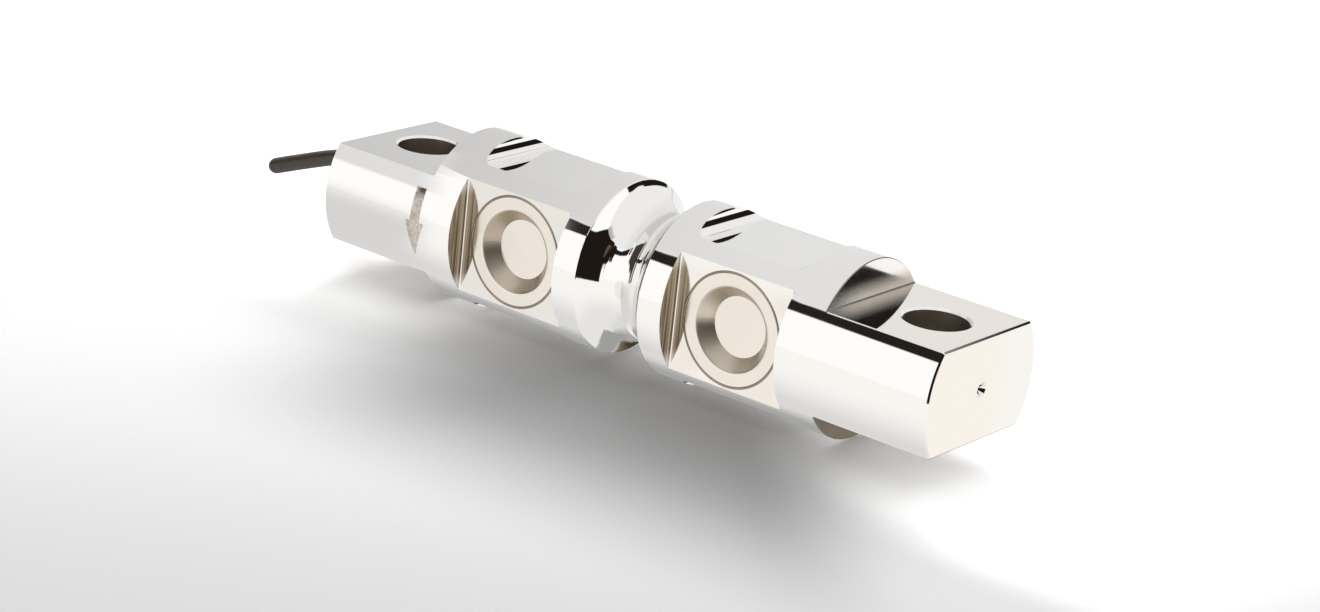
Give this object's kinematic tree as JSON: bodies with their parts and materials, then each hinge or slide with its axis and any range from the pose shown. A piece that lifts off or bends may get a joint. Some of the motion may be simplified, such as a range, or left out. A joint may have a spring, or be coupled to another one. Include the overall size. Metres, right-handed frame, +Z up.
{
  "type": "double ended beam load cell",
  "caption": "Round bar load cell with flat bolted ends, a ring groove at mid-length for the load, and dished covers over gauge bores on the sides.",
  "frame": {"origin": "middle of the bar's axis, half way between the ends", "axes": "+X along the bar towards the end without the cable, +Z up through the bolt holes, -Y the front with two covers"},
  "size_m": [0.3326, 0.062, 0.062],
  "materials": {
    "beam_steel": "alloy steel, nickel plated and polished to a mirror",
    "cover_steel": "pressed stainless sheet, fine satin, welded in",
    "gauge_foil": "polyimide backing with etched foil",
    "gauge_coat": "clear grey silicone",
    "terminal_board": "glass-fibre strip with solder pads",
    "trim_board": "solder-masked circuit board",
    "pillar_brass": "turned",
    "screw_steel": "zinc plated",
    "resistor": "ceramic chip",
    "wire_jacket": "insulated wire bundle",
    "gland_metal": "nickel-plated brass",
    "seal_rubber": "smooth",
    "cable_jacket": "smooth black sheath"
  },
  "bodies": {
    "root": {"beam_body": "beam_steel", "cover_left_front": "cover_steel", "gauge_left_front": "gauge_foil", "coat_left_front": "gauge_coat", "terminal_left_front": "terminal_board", "cover_left_back": "cover_steel", "gauge_left_back": "gauge_foil", "coat_left_back": "gauge_coat", "terminal_left_back": "terminal_board", "cover_right_front": "cover_steel", "gauge_right_front": "gauge_foil", "coat_right_front": "gauge_coat", "terminal_right_front": "terminal_board", "cover_right_back": "cover_steel", "gauge_right_back": "gauge_foil", "coat_right_back": "gauge_coat", "terminal_right_back": "terminal_board", "trim_board": "trim_board", "board_pillars": "pillar_brass", "board_screws": "screw_steel", "trim_resistors": "resistor", "web_wires_right": "wire_jacket", "web_wires_left": "wire_jacket", "bridge_wires": "wire_jacket", "cable_cores": "wire_jacket", "gland_washer": "gland_metal", "gland_body": "gland_metal", "gland_seal": "seal_rubber", "gland_nut": "gland_metal", "cable": "cable_jacket"}
  },
  "joints": []
}
